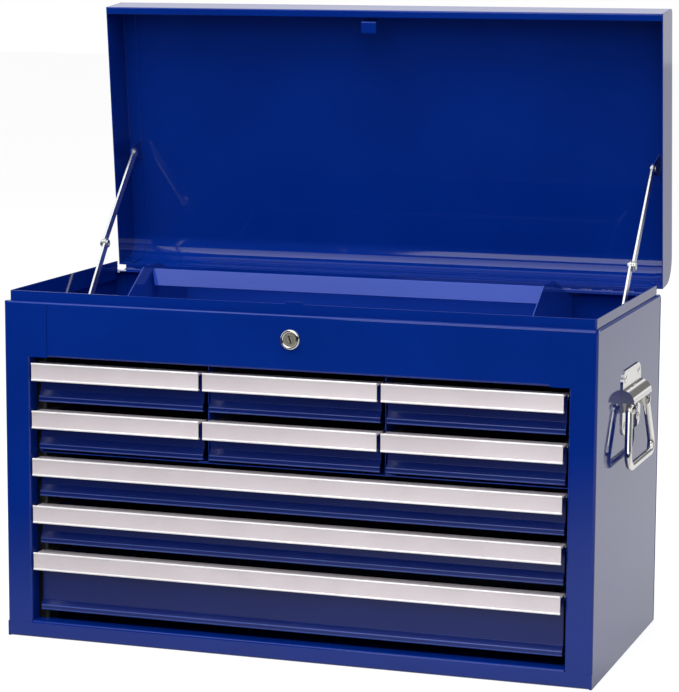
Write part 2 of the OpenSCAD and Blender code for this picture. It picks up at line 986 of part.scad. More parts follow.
// Folded grip between the cheeks, mitred at its ends
module tray_handle() {
    ridge = [front_y + 186, body_h + 20];
    skirt_y = 11.4;
    skirt_z = 19.4;
    ridge_r = 1.2;
    end_x = tray_w / 2 - tray_t;
    mitre = 7.4;
    mitre_top = ridge[1] - 3;
    margin = 2;
    low_z = ridge[1] - skirt_z - margin;
    high_z = ridge[1] + margin;
    color(paint)
        intersection() {
            along_x(-end_x, end_x)
                folded([ridge + [-skirt_y, -skirt_z], ridge, ridge + [skirt_y, -skirt_z]],
                       tray_t, ridge_r);
            along_y(ridge[0] - skirt_y - margin, ridge[0] + skirt_y + margin)
                polygon([[-end_x, high_z], [end_x, high_z], [end_x, mitre_top],
                         [end_x - mitre, low_z], [mitre - end_x, low_z], [-end_x, mitre_top]]);
        }
}

// ---- Nodes ----

side_left();
side_right();
back_panel();
bottom_pan();
top_rail();
rim();
compartment_floor();
shelf();
partition_left();
partition_right();
slide_posts();
rails_small(1);  // rails_row_1
rails_small(2);  // rails_row_2
rails_full(3);  // rails_row_3
rails_full(4);  // rails_row_4
rails_full(5);  // rails_row_5
drawer(1, -column_pitch, small_w);  // drawer_1_left
drawer(1, 0, small_w);  // drawer_1_middle
drawer(1, column_pitch, small_w);  // drawer_1_right
drawer(2, -column_pitch, small_w);  // drawer_2_left
drawer(2, 0, small_w);  // drawer_2_middle
drawer(2, column_pitch, small_w);  // drawer_2_right
drawer(3, 0, full_w);  // drawer_3
drawer(4, 0, full_w);  // drawer_4
drawer(5, 0, full_w);  // drawer_5
pull(1, -column_pitch, small_w);  // pull_1_left
pull(1, 0, small_w);  // pull_1_middle
pull(1, column_pitch, small_w);  // pull_1_right
pull(2, -column_pitch, small_w);  // pull_2_left
pull(2, 0, small_w);  // pull_2_middle
pull(2, column_pitch, small_w);  // pull_2_right
pull(3, 0, full_w);  // pull_3
pull(4, 0, full_w);  // pull_4
pull(5, 0, full_w);  // pull_5
lid_shell();
lid_end_left();
lid_end_right();
lid_striker();
hinge_leaf_cabinet();
hinge_leaf_lid();
hinge_pin();
stay_studs_cabinet();
stay_studs_lid();
stay_lower_left();
stay_lower_right();
stay_upper_left();
stay_upper_right();
handle_plate_left();
handle_plate_right();
handle_bail_left();
handle_bail_right();
handle_rivets();
lock_barrel();
lock_nut();
lock_plug();
lock_cam();
tray();
tray_handle();
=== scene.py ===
import json
import math

import bmesh
import bpy
from mathutils import Matrix, Vector


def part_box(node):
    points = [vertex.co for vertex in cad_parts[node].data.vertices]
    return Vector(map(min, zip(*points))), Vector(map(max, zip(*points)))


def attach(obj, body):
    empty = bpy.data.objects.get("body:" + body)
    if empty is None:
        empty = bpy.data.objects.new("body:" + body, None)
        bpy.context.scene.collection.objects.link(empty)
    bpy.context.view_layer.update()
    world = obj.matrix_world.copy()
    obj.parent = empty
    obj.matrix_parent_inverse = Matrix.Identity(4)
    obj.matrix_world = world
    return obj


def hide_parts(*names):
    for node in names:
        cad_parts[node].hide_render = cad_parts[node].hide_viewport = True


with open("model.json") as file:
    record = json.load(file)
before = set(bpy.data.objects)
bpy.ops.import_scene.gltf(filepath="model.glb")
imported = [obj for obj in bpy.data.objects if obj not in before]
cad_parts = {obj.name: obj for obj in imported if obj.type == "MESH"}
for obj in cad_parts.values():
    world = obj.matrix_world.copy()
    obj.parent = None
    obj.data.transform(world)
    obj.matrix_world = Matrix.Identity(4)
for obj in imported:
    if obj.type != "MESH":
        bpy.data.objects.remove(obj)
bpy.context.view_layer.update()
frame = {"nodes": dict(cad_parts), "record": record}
nodes = frame["nodes"]
bodies = frame["record"]["behaviour"]["bodies"]
bodyOf = {node: body for body, members in bodies.items() for node in members}
slotOf = {part["node"]: part["material_slot"] for part in frame["record"]["subparts"]}
mm = 0.001
print("frame loaded:", len(nodes), "nodes")


class Wire:
    # a socket that can be used in plain arithmetic
    def __init__(self, maker, socket):
        self.maker = maker
        self.socket = socket

    def __add__(self, other):
        return self.maker.add("ShaderNodeMath", {"operation": "ADD"}, [self, other])

    def __sub__(self, other):
        return self.maker.add("ShaderNodeMath", {"operation": "SUBTRACT"}, [self, other])

    def __rsub__(self, other):
        return self.maker.add("ShaderNodeMath", {"operation": "SUBTRACT"}, [other, self])

    def __mul__(self, other):
        return self.maker.add("ShaderNodeMath", {"operation": "MULTIPLY"}, [self, other])

    __radd__ = __add__
    __rmul__ = __mul__


class Maker:
    # adds nodes to one tree and links what it is given
    def __init__(self, tree):
        self.tree = tree

    def node(self, kind, settings=None, values=None):
        made = self.tree.nodes.new(kind)
        for key, value in (settings or {}).items():
            setattr(made, key, value)
        pairs = enumerate(values) if isinstance(values, list) else (values or {}).items()
        for key, value in pairs:
            self.give(made.inputs[key], value)
        return made

    def give(self, socket, value):
        if isinstance(value, Wire):
            self.tree.links.new(value.socket, socket)
        else:
            socket.default_value = value

    def add(self, kind, settings=None, values=None, out=0):
        return Wire(self, self.node(kind, settings, values).outputs[out])

    def objectPoint(self):
        return self.add("ShaderNodeTexCoord", out="Object")

    def split(self, vector):
        parts = self.node("ShaderNodeSeparateXYZ", {}, {"Vector": vector})
        return [Wire(self, parts.outputs[axis]) for axis in "XYZ"]

    def noise(self, scale, detail=3.0, stretch=(1, 1, 1)):
        place = self.add("ShaderNodeMapping", {}, {"Vector": self.objectPoint(), "Scale": stretch})
        return self.add("ShaderNodeTexNoise", {}, {"Vector": place, "Scale": scale, "Detail": detail},
                        out="Fac")

    def blend(self, amount, first, second):
        # a colour mix keeps its factor in socket 0, its colours in 6 and 7 and its result in 2
        mixed = self.node("ShaderNodeMix", {"data_type": "RGBA"})
        for place, value in ((0, amount), (6, first), (7, second)):
            self.give(mixed.inputs[place], value)
        return Wire(self, mixed.outputs[2])

    def ramp(self, amount, low, high):
        return self.add("ShaderNodeMapRange", {"interpolation_type": "SMOOTHSTEP"},
                        {"Value": amount, "From Min": low, "From Max": high})


def newMaterial(name):
    material = bpy.data.materials.new(name)
    material.use_nodes = True
    material.node_tree.nodes.clear()
    return material, Maker(material.node_tree)


def finishMaterial(maker, settings, bump=None):
    if bump:
        height, strength, distance = bump
        settings["Normal"] = maker.add("ShaderNodeBump", {}, {
            "Height": height, "Strength": strength, "Distance": distance}, out="Normal")
    shader = maker.add("ShaderNodeBsdfPrincipled", {}, settings)
    maker.node("ShaderNodeOutputMaterial", {}, {"Surface": shader})


def dimmed(color, share):
    return tuple(c * share for c in color[:3]) + (1,)


paintLook = {"orangePeel": 420.0, "peelStrength": 0.12, "peelDepth": 0.00002, "mottle": 7.0,
             "mottleSpan": (0.3, 0.7), "haze": 46.0, "hazeSpan": (0.52, 0.78), "ior": 1.5,
             "roughness": 0.06, "hazeShare": 0.07}
drawerLook = dict(paintLook, roughness=0.24, hazeShare=0.015)


def makePaint(name, deep, pale, look=paintLook):
    # stoved gloss enamel: slight colour drift, fine orange peel, faint rubbing haze
    material, maker = newMaterial(name)
    drift = maker.ramp(maker.noise(look["mottle"], 2.0), *look["mottleSpan"])
    haze = maker.ramp(maker.noise(look["haze"], 5.0), *look["hazeSpan"])
    finishMaterial(maker, {
        "Base Color": maker.blend(drift, deep, pale),
        "Roughness": haze * look["hazeShare"] + look["roughness"],
        "IOR": look["ior"],
    }, (maker.noise(look["orangePeel"], 2.0), look["peelStrength"], look["peelDepth"]))
    return material


brushedLook = {"grain": 900.0, "grainShade": 0.3, "grainRoughness": 0.12, "grainStrength": 0.25,
               "cloud": 18.0, "cloudSpan": (0.35, 0.7), "cloudShade": 0.5, "cloudRoughness": 0.05,
               "darker": 0.86}


def makeBrushed(name, color, roughness, metallic, along, depth):
    # drawn or rolled metal: grain runs along one axis of the part
    look = brushedLook
    material, maker = newMaterial(name)
    grain = maker.noise(look["grain"], 3.0, along)
    cloud = maker.ramp(maker.noise(look["cloud"], 4.0), *look["cloudSpan"])
    shade = cloud * look["cloudShade"] + grain * look["grainShade"]
    finishMaterial(maker, {
        "Base Color": maker.blend(shade, color, dimmed(color, look["darker"])),
        "Metallic": metallic,
        "Roughness": grain * look["grainRoughness"] + cloud * look["cloudRoughness"] + roughness,
    }, (grain, look["grainStrength"], depth))
    return material


platedLook = {"marks": 60.0, "marksStretch": (1, 1, 3), "marksSpan": (0.45, 0.75), "marksShade": 0.4,
              "marksRoughness": 0.07, "darker": 0.9, "ripple": 240.0, "rippleStrength": 0.05,
              "rippleDepth": 0.00002}


def makePlated(name, color, roughness):
    # polished plating with faint wiping marks
    look = platedLook
    material, maker = newMaterial(name)
    marks = maker.ramp(maker.noise(look["marks"], 6.0, look["marksStretch"]), *look["marksSpan"])
    finishMaterial(maker, {
        "Base Color": maker.blend(marks * look["marksShade"], color, dimmed(color, look["darker"])),
        "Metallic": 1.0,
        "Roughness": marks * look["marksRoughness"] + roughness,
    }, (maker.noise(look["ripple"], 2.0), look["rippleStrength"], look["rippleDepth"]))
    return material


plugLook = {"axisX": 0.0, "axisZ": 0.347, "rings": 1900.0, "ringShade": 0.7, "ringRoughness": 0.1,
            "ringStrength": 0.5, "grain": 300.0, "grainShade": 0.3, "roughness": 0.34, "metallic": 0.4,
            "depth": 0.00012}


def makePlug(name, face, groove):
    # turned plug: fine rings about the key's axis
    look = plugLook
    material, maker = newMaterial(name)
    x, _, z = maker.split(maker.objectPoint())
    x, z = x - look["axisX"], z - look["axisZ"]
    radius = maker.add("ShaderNodeMath", {"operation": "SQRT"}, [x * x + z * z])
    wave = maker.add("ShaderNodeMath", {"operation": "SINE"}, [radius * look["rings"]])
    rings = wave * 0.5 + 0.5
    shade = rings * look["ringShade"] + maker.noise(look["grain"]) * look["grainShade"]
    finishMaterial(maker, {
        "Base Color": maker.blend(shade, face, groove),
        "Metallic": look["metallic"],
        "Roughness": rings * look["ringRoughness"] + look["roughness"],
    }, (rings, look["ringStrength"], look["depth"]))
    return material


alongX, alongY, alongZ = (0.02, 1, 1), (1, 0.3, 1), (1, 1, 0.1)  # how each metal's grain is drawn out
finishes = {
    "cabinet_paint": makePaint("cabinetEnamel", (0.0006, 0.0185, 0.195, 1), (0.0010, 0.0215, 0.222, 1)),
    # the inside pieces' blue is a paler copy of the cabinet's: painted light standing in for light
    # reaching into the chest
    "inner_paint": makePaint("innerEnamelPaintedLight", (0.0060, 0.0360, 0.300, 1), (0.0080, 0.0420, 0.335, 1)),
    # the drawer fronts' blue is a darker copy of the cabinet's: painted shade
    "drawer_paint": makePaint("drawerEnamelPaintedShade", (0.0009, 0.0115, 0.130, 1), (0.0012, 0.0140, 0.150, 1),
                              drawerLook),
    # a paler blue for the drawer fronts' lower folds: painted highlight
    "drawer_fold_highlight": makePaint("drawerFoldHighlight", (0.046, 0.085, 0.36, 1), (0.054, 0.098, 0.40, 1), drawerLook),
    "pull_aluminium": makeBrushed("pullAluminium", (0.83, 0.755, 0.79, 1), 0.38, 0.3, alongX, 0.00003),
    # a whiter aluminium for the pulls' beads: painted highlight
    "pull_bead_highlight": makeBrushed("pullBeadHighlight", (0.97, 0.95, 0.96, 1), 0.22, 0.2, alongX, 0.00002),
    "galvanised_steel": makeBrushed("galvanisedSteel", (0.20, 0.205, 0.215, 1), 0.4, 0.9, alongY, 0.00003),
    "zinc_steel": makeBrushed("zincSteel", (0.72, 0.73, 0.74, 1), 0.22, 0.95, alongZ, 0.00003),
    "chrome": makePlated("chromePlate", (0.78, 0.77, 0.75, 1), 0.05),
    "plug_nickel": makePlug("plugNickel", (0.37, 0.345, 0.29, 1), (0.16, 0.15, 0.125, 1)),
}
print("finishes made:", len(finishes))


def ownPiece(name, mesh, slot, body, *stoodFor):
    made = bpy.data.objects.new(name, mesh)
    bpy.context.scene.collection.objects.link(made)
    mesh.materials.clear()
    mesh.materials.append(finishes[slot])
    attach(made, body)
    if stoodFor:
        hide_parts(*stoodFor)
    return made


dressing = {"edge": 0.28 * mm, "fineEdge": 0.15 * mm, "steps": 2, "foldAngle": math.radians(30),
            "merge": 1e-6, "flatAngle": math.radians(0.4), "flatWeight": 100}
# which faces of a drawer front get the painted fold highlight
foldHighlightLook = {"lowest": 0.06, "highest": 0.5, "front": -0.3, "reach": 8.0}


def paintFoldHighlights(mesh, bottom):
    # the two lower folds of a drawer's front get a paler blue: painted highlight
    for polygon in mesh.polygons:
        rise, out = polygon.normal.z, polygon.normal.y
        onFoldHighlight = out < foldHighlightLook["front"] and foldHighlightLook["lowest"] < abs(rise)
        if onFoldHighlight and rise < foldHighlightLook["highest"] and polygon.center.z / mm < bottom + foldHighlightLook["reach"]:
            polygon.material_index = 1


def dress(node, edge=dressing["edge"]):
    # a merged copy of the node whose raw edges carry the small radius that paint or plating leaves
    source = nodes[node]
    mesh = source.data.copy()
    work = bmesh.new()
    work.from_mesh(mesh)
    bmesh.ops.remove_doubles(work, verts=work.verts, dist=dressing["merge"])
    bmesh.ops.dissolve_limit(work, angle_limit=dressing["flatAngle"], verts=work.verts, edges=work.edges)
    work.to_mesh(mesh)
    work.free()
    for polygon in mesh.polygons:
        polygon.use_smooth = True
    temporary = bpy.data.objects.new("dressing", mesh)
    bpy.context.scene.collection.objects.link(temporary)
    bevel = temporary.modifiers.new("ease", "BEVEL")
    bevel.width, bevel.segments = edge, dressing["steps"]
    bevel.limit_method, bevel.angle_limit = "ANGLE", dressing["foldAngle"]
    bevel.harden_normals, bevel.use_clamp_overlap = True, True
    weighted = temporary.modifiers.new("flats", "WEIGHTED_NORMAL")
    weighted.keep_sharp, weighted.weight = True, dressing["flatWeight"]
    graph = bpy.context.evaluated_depsgraph_get()
    final = bpy.data.meshes.new_from_object(temporary.evaluated_get(graph))
    bpy.data.objects.remove(temporary)
    bpy.data.meshes.remove(mesh)
    final.name = node + "_dressed"
    made = ownPiece(node + "_dressed", final, slotOf[node], bodyOf[node], node)
    # the lower folds of drawer fronts get the paler blue: painted highlight
    if node.startswith("drawer_"):
        made.data.materials.append(finishes["drawer_fold_highlight"])
        paintFoldHighlights(made.data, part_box(node)[0][2] / mm)


class Rule(Maker):
    # a geometry tree with named inputs; its result is made solid and given its finish at the end
    def __init__(self, name, inputs):
        tree = bpy.data.node_groups.new(name, "GeometryNodeTree")
        super().__init__(tree)
        for label, kind in [("Start", "Geometry")] + inputs + [("Finish", "Material")]:
            tree.interface.new_socket(label, in_out="INPUT", socket_type="NodeSocket" + kind)
        tree.interface.new_socket("Result", in_out="OUTPUT", socket_type="NodeSocketGeometry")
        self.given = self.node("NodeGroupInput")

    def value(self, label):
        return Wire(self, self.given.outputs[label])

    def vector(self, x=0.0, y=0.0, z=0.0):
        return self.add("ShaderNodeCombineXYZ", {}, [x, y, z])

    def join(self, *parts):
        joined = self.node("GeometryNodeJoinGeometry")
        for part in parts:
            self.tree.links.new(part.socket, joined.inputs[0])
        return Wire(self, joined.outputs[0])

    def barX(self, radius, length, place, sides=20):
        # round bar along X, centred on place
        bar = self.add("GeometryNodeMeshCylinder", {}, {"Vertices": sides, "Radius": radius,
                                                        "Depth": length})
        return self.moved(bar, Translation=place, Rotation=(0, math.pi / 2, 0))

    def dome(self, segments, radius):
        return self.add("GeometryNodeMeshUVSphere", {}, {
            "Segments": segments, "Rings": segments // 2, "Radius": radius})

    def moved(self, shape, **values):
        return self.add("GeometryNodeTransform", {}, dict(values, Geometry=shape))

    def row(self, count, first, step):
        return self.add("GeometryNodeMeshLine", {}, {
            "Count": count, "Start Location": first, "Offset": self.vector(step)})

    def spread(self, places, shape, **values):
        return self.add("GeometryNodeInstanceOnPoints", {}, dict(values, Points=places, Instance=shape))

    def finish(self, result):
        realized = self.add("GeometryNodeRealizeInstances", {}, [result])
        dressed = self.add("GeometryNodeSetMaterial", {}, {
            "Geometry": realized, "Material": self.value("Finish")})
        self.node("NodeGroupOutput", {}, [dressed])
        return self.tree


growing = {"merge": 1e-7, "smoothTo": math.radians(35), "easeSteps": 2, "easeAngle": math.radians(50)}


def grow(tree, start, values, slot, bevel=0.0):
    # runs a tree on a starting mesh and hands back the plain mesh
    temporary = bpy.data.objects.new("grown", start)
    bpy.context.scene.collection.objects.link(temporary)
    rule = temporary.modifiers.new("rule", "NODES")
    rule.node_group = tree
    given = dict(values, Finish=finishes[slot])
    for item in tree.interface.items_tree:
        if item.in_out == "INPUT" and item.name in given:
            rule[item.identifier] = given[item.name]
    if bevel:
        eased = temporary.modifiers.new("ease", "BEVEL")
        eased.width, eased.segments = bevel, growing["easeSteps"]
        eased.limit_method, eased.angle_limit = "ANGLE", growing["easeAngle"]
    graph = bpy.context.evaluated_depsgraph_get()
    mesh = bpy.data.meshes.new_from_object(temporary.evaluated_get(graph))
    bpy.data.objects.remove(temporary)
    bpy.data.meshes.remove(start)
    work = bmesh.new()
    work.from_mesh(mesh)
    bmesh.ops.remove_doubles(work, verts=work.verts, dist=growing["merge"])
    bmesh.ops.recalc_face_normals(work, faces=work.faces)
    for face in work.faces:
        face.smooth = True
    work.to_mesh(mesh)
    work.free()
    mesh.set_sharp_from_angle(angle=growing["smoothTo"])
    return mesh


def outlineMesh(name, points, x=0.0):
    mesh = bpy.data.meshes.new(name)
    mesh.from_pydata([(x, y * mm, z * mm) for y, z in points], [], [tuple(range(len(points)))])
    return mesh


def arc(centre, radius, start, end, steps):
    angles = [math.radians(start + (end - start) * k / steps) for k in range(steps + 1)]
    return [(centre[0] + radius * math.cos(a), centre[1] + radius * math.sin(a)) for a in angles]


# extruded pull: two proud beads on a flat face, a web behind the upper one and a grip on the drawer
pullSection = {"beadRadius": 1.15, "beadMiddle": -156.9, "faceFront": -157.3, "faceBack": -156.1,
               "height": 19.8, "webTop": -1.9, "webBottom": -3.2, "gripFront": -135.0, "gripBack": -133.6,
               "gripLow": -6.4, "hookBack": -152.4, "hookTop": -18.4,
               "beadSteps": 14, "beadDepth": 0.6, "ease": 0.12 * mm, "merge": 1e-6}


def pullOutline(top):
    size = pullSection
    reach = math.degrees(math.acos((size["faceFront"] - size["beadMiddle"]) / size["beadRadius"]))
    web = math.degrees(math.asin((size["webTop"] + size["beadRadius"]) / size["beadRadius"]))
    upper = (size["beadMiddle"], -size["beadRadius"])
    lower = (size["beadMiddle"], -size["height"] + size["beadRadius"])
    points = arc(upper, size["beadRadius"], 360 - reach, web, size["beadSteps"])
    points += [(size["gripBack"], size["webTop"]), (size["gripBack"], size["gripLow"]),
               (size["gripFront"], size["gripLow"]), (size["gripFront"], size["webBottom"]),
               (size["faceBack"], size["webBottom"]), (size["faceBack"], size["hookTop"]),
               (size["hookBack"], size["hookTop"]), (size["hookBack"], -size["height"])]
    points += arc(lower, size["beadRadius"], 270, reach, size["beadSteps"])
    return [(y, z + top) for y, z in points]


def paintBeadHighlights(mesh, top):
    # the two beads get a smoother finish and a whiter colour than the satin face between them; the whiter
    # colour is painted highlight
    size = pullSection
    limit = 2 * size["beadRadius"]
    for polygon in mesh.polygons:
        y, z = polygon.center.y / mm, polygon.center.z / mm - top
        onBeadHighlight = z > -limit or z < limit - size["height"]
        if y < size["beadMiddle"] + size["beadDepth"] * size["beadRadius"] and onBeadHighlight:
            polygon.material_index = 1


def extrusionRule():
    rule = Rule("extrusion", [("Length", "Float")])
    section = rule.value("Start")
    pulled = rule.add("GeometryNodeExtrudeMesh", {"mode": "FACES"}, {
        "Mesh": section, "Offset": rule.vector(rule.value("Length")), "Offset Scale": 1.0,
        "Individual": False})
    closed = rule.join(pulled, rule.add("GeometryNodeFlipFaces", {}, [section]))
    return rule.finish(rule.add("GeometryNodeMergeByDistance", {}, {
        "Geometry": closed, "Distance": pullSection["merge"]}))


pullTree = extrusionRule()
for node in sorted(name for name in nodes if name.startswith("pull_")):
    low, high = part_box(node)
    mesh = grow(pullTree, outlineMesh("pullOutline", pullOutline(high[2] / mm), low[0]),
                {"Length": high[0] - low[0]}, "pull_aluminium", bevel=pullSection["ease"])
    made = ownPiece(node + "_extrusion", mesh, "pull_aluminium", bodyOf[node], node)
    # the beads get the whiter finish: painted highlight
    made.data.materials.append(finishes["pull_bead_highlight"])
    paintBeadHighlights(made.data, high[2] / mm)
print("pulls extruded")


# piano hinge: a flat leaf with knuckles in a row, each on a tongue, and its spot welds
hingeRule = {"axis": (159.5, 371.0), "radius": 3.0, "length": 642.0, "knuckles": 53, "gap": 0.5,
             "leaf": 1.2, "leafHeight": 17.0, "leafEnd": 156.85, "tongueBite": 0.1, "lidOpen": 83.84,
             "cabinetFace": 153.0, "lidFace": 153.2, "spotEvery": 53.5, "spotRadius": 2.4,
             "spotProud": 0.25, "ease": 0.15 * mm, "sides": 24, "spotSides": 16}


def hingeTree():
    rule = Rule("pianoHinge", [
        ("First", "Vector"), ("Step", "Float"), ("Count", "Int"), ("Long", "Float"), ("Radius", "Float"),
        ("Tongue", "Vector"), ("Tongue Place", "Vector"), ("Spot First", "Vector"), ("Spot Step", "Float"),
        ("Spot Count", "Int"), ("Spot Radius", "Float"), ("Spot Proud", "Float")])
    tongue = rule.add("GeometryNodeMeshCube", {}, {"Size": rule.value("Tongue")})
    tongue = rule.moved(tongue, Translation=rule.value("Tongue Place"))
    barrel = rule.barX(rule.value("Radius"), rule.value("Long"), (0, 0, 0), hingeRule["sides"])
    line = rule.row(rule.value("Count"), rule.value("First"), rule.value("Step"))
    knuckles = rule.spread(line, rule.join(barrel, tongue))
    spot = rule.dome(hingeRule["spotSides"], rule.value("Spot Radius"))
    spot = rule.moved(spot, Scale=rule.vector(1.0, rule.value("Spot Proud"), 1.0))
    line = rule.row(rule.value("Spot Count"), rule.value("Spot First"), rule.value("Spot Step"))
    return rule.finish(rule.join(rule.value("Start"), knuckles, rule.spread(line, spot)))


def leafMesh(faceY, webLow, webHigh, wallLow, wallHigh):
    # flat leaf on the wall and its web out to the knuckles, as one closed outline along X
    size = hingeRule
    half = size["length"] / 2 * mm
    if wallHigh > webHigh:
        points = [(faceY, webLow), (size["leafEnd"], webLow), (size["leafEnd"], webHigh),
                  (faceY + size["leaf"], webHigh), (faceY + size["leaf"], wallHigh), (faceY, wallHigh)]
    else:
        points = [(faceY, wallLow), (faceY + size["leaf"], wallLow), (faceY + size["leaf"], webLow),
                  (size["leafEnd"], webLow), (size["leafEnd"], webHigh), (faceY, webHigh)]
    return grow(pullTree, outlineMesh("leafOutline", points, -half), {"Length": 2 * half},
                "cabinet_paint", bevel=size["ease"])


def hingeLeaf(node, first, faceY, webLow, webHigh, wallLow, wallHigh, tree, swing):
    size = hingeRule
    pitch = size["length"] / size["knuckles"]
    long = pitch - size["gap"]
    axisY, axisZ = size["axis"]
    reach = axisY - size["leafEnd"] + size["tongueBite"]
    spotZ = (wallLow + wallHigh) / 2
    spots = int(size["length"] / size["spotEvery"])
    firstX = -size["length"] / 2 + (first + 0.5) * pitch
    firstSpot = -(spots - 1) / 2 * size["spotEvery"]
    values = {"First": (firstX * mm, axisY * mm, axisZ * mm),
              "Step": 2 * pitch * mm, "Count": len(range(first, size["knuckles"], 2)), "Long": long * mm,
              "Radius": size["radius"] * mm,
              "Tongue": (long * mm, reach * mm, (webHigh - webLow) * mm),
              "Tongue Place": (0, -reach / 2 * mm, ((webLow + webHigh) / 2 - axisZ) * mm),
              "Spot First": (firstSpot * mm, (faceY + size["leaf"]) * mm, spotZ * mm),
              "Spot Step": size["spotEvery"] * mm, "Spot Count": spots,
              "Spot Radius": size["spotRadius"] * mm, "Spot Proud": size["spotProud"] / size["spotRadius"]}
    mesh = grow(tree, leafMesh(faceY, webLow, webHigh, wallLow, wallHigh), values, "cabinet_paint")
    if swing:
        about = Vector((0, axisY * mm, axisZ * mm))
        opened = Matrix.Rotation(-math.radians(size["lidOpen"]), 4, "X")
        mesh.transform(Matrix.Translation(about) @ opened @ Matrix.Translation(-about))
    ownPiece(node + "_rolled", mesh, slotOf[node], bodyOf[node], node)


rolled = hingeTree()
webLow = hingeRule["axis"][1] - hingeRule["radius"]
webHigh = hingeRule["axis"][1] + hingeRule["radius"]
leaf, leafHeight = hingeRule["leaf"], hingeRule["leafHeight"]
hingeLeaf("hinge_leaf_cabinet", 0, hingeRule["cabinetFace"], webLow, webLow + leaf,
          webLow - leafHeight, webLow + leaf, rolled, False)
hingeLeaf("hinge_leaf_lid", 1, hingeRule["lidFace"], webHigh - leaf, webHigh,
          webHigh - leaf, webHigh + leafHeight, rolled, True)
print("hinge rolled")


# the handles' rivets: a domed head outside, a flat tail inside the panel
rivetRule = {"headRadius": 4.4, "headProud": 1.8, "shankRadius": 2.4, "tailRadius": 3.8, "tail": 1.8,
             "panel": 1.2, "plate": 1.6, "sideX": 330.0, "headSides": 24,
             "places": [(-29.5, 255), (36.5, 255), (-29.5, 305), (36.5, 305)]}


def rivetTree():
    rule = Rule("rivets", [(label, "Float") for label in (
        "Head Radius", "Head Proud", "Shank Radius", "Tail Radius", "Tail", "Panel", "Plate")])
    panel, plate, length = rule.value("Panel"), rule.value("Plate"), rule.value("Tail")
    head = rule.dome(rivetRule["headSides"], rule.value("Head Radius"))
    head = rule.moved(head, Scale=rule.vector(rule.value("Head Proud"), 1.0, 1.0),
                      Translation=rule.vector(plate))
    shank = rule.barX(rule.value("Shank Radius"), panel + plate, rule.vector((plate - panel) * 0.5))
    tail = rule.barX(rule.value("Tail Radius"), length, rule.vector((panel + length * 0.5) * -1.0))
    x, _, _ = rule.split(rule.add("GeometryNodeInputPosition"))
    onLeft = rule.add("ShaderNodeMath", {"operation": "LESS_THAN"}, [x, 0.0])
    return rule.finish(rule.spread(rule.value("Start"), rule.join(head, shank, tail),
                                   Rotation=rule.vector(0.0, 0.0, onLeft * math.pi)))


places = bpy.data.meshes.new("rivetPlaces")
places.from_pydata([(side * rivetRule["sideX"] * mm, y * mm, z * mm) for side in (-1, 1)
                    for y, z in rivetRule["places"]], [], [])
rivets = grow(rivetTree(), places, {
    "Head Radius": rivetRule["headRadius"] * mm,
    "Head Proud": rivetRule["headProud"] / rivetRule["headRadius"],
    "Shank Radius": rivetRule["shankRadius"] * mm, "Tail Radius": rivetRule["tailRadius"] * mm,
    "Tail": rivetRule["tail"] * mm, "Panel": rivetRule["panel"] * mm, "Plate": rivetRule["plate"] * mm,
}, "chrome")
ownPiece("handle_rivets_set", rivets, "chrome", "cabinet", "handle_rivets")
print("rivets set")


# lock: a domed ring turned on the key's axis, with its plain barrel behind it
lockRing = {"axis": (0.0, 347.0), "steps": 96, "smoothTo": math.radians(40), "profile": [
    (7.05, -150.5), (7.05, -153.4), (7.5, -154.2), (8.3, -154.75), (9.1, -154.85), (9.9, -154.5),
    (10.6, -153.8), (11.0, -152.8), (11.0, -151.8), (9.0, -151.8), (9.0, -139.0), (7.05, -139.0)]}


def turnAbout(name, profile, axis, steps, smoothTo):
    # a closed profile of (radius, Y) turned about a line along Y
    mesh = bpy.data.meshes.new(name)
    work = bmesh.new()
    rings = []
    for k in range(steps):
        angle = 2 * math.pi * k / steps
        rings.append([work.verts.new(((axis[0] + r * math.cos(angle)) * mm, y * mm,
                                      (axis[1] + r * math.sin(angle)) * mm)) for r, y in profile])
    count = len(profile)
    for k, ring in enumerate(rings):
        following = rings[(k + 1) % steps]
        for i in range(count):
            j = (i + 1) % count
            work.faces.new((ring[i], ring[j], following[j], following[i])).smooth = True
    bmesh.ops.recalc_face_normals(work, faces=work.faces)
    work.to_mesh(mesh)
    work.free()
    mesh.set_sharp_from_angle(angle=smoothTo)
    return mesh


ring = turnAbout("lockRing", lockRing["profile"], lockRing["axis"], lockRing["steps"],
                 lockRing["smoothTo"])
ownPiece("lock_barrel_turned", ring, "chrome", bodyOf["lock_barrel"], "lock_barrel")
print("lock turned")


# every other piece is its own solid, dressed
fineNodes = {"handle_bail_left", "handle_bail_right", "lock_plug", "lid_striker"}
grown = {"hinge_leaf_cabinet", "hinge_leaf_lid", "handle_rivets", "lock_barrel"}
grown |= {name for name in nodes if name.startswith("pull_")}
for node in sorted(set(nodes) - grown):
    dress(node, dressing["fineEdge"] if node in fineNodes else dressing["edge"])
print("pieces dressed")


# a white room; in mirror rays its floor dims towards the front and the left, and its walls in front,
# because the chest's glossy front shows no bright thing there
studio = {"floorSize": 30.0, "floorDrop": 0.5 * mm, "floorWhite": 0.74, "floorShine": 0.5,
          "floorAlbedo": 0.45, "soft": 0.5, "dimmest": 0.98, "brightTo": 0.2, "dimFrom": 1.5,
          "leftShare": 1.0, "frontSpan": (-0.1, 0.25), "nearSpan": (0.0, 0.18), "nearDim": 0.35,
          "wallSpan": (0.25, 0.7), "cardDark": 0.8, "cardSide": (0.0, 0.1), "cardLow": (0.03, 0.09),
          "cardHigh": (0.3, 0.45), "aim": (0, 0, 0.3),
          "overheadPlace": (-0.1, -1.0, 2.6), "overheadSize": (2.6, 1.8), "overheadPower": 44,
          "mirroredPlace": (-0.1, -1.0, 2.62), "mirroredPower": 18,
          "fillPlace": (0.4, -3.6, 2.0), "fillSize": (3.4, 1.8), "fillPower": 48}


def rayKinds(maker):
    rays = maker.node("ShaderNodeLightPath")
    return [Wire(maker, rays.outputs["Is %s Ray" % kind]) for kind in ("Camera", "Glossy", "Transmission")]


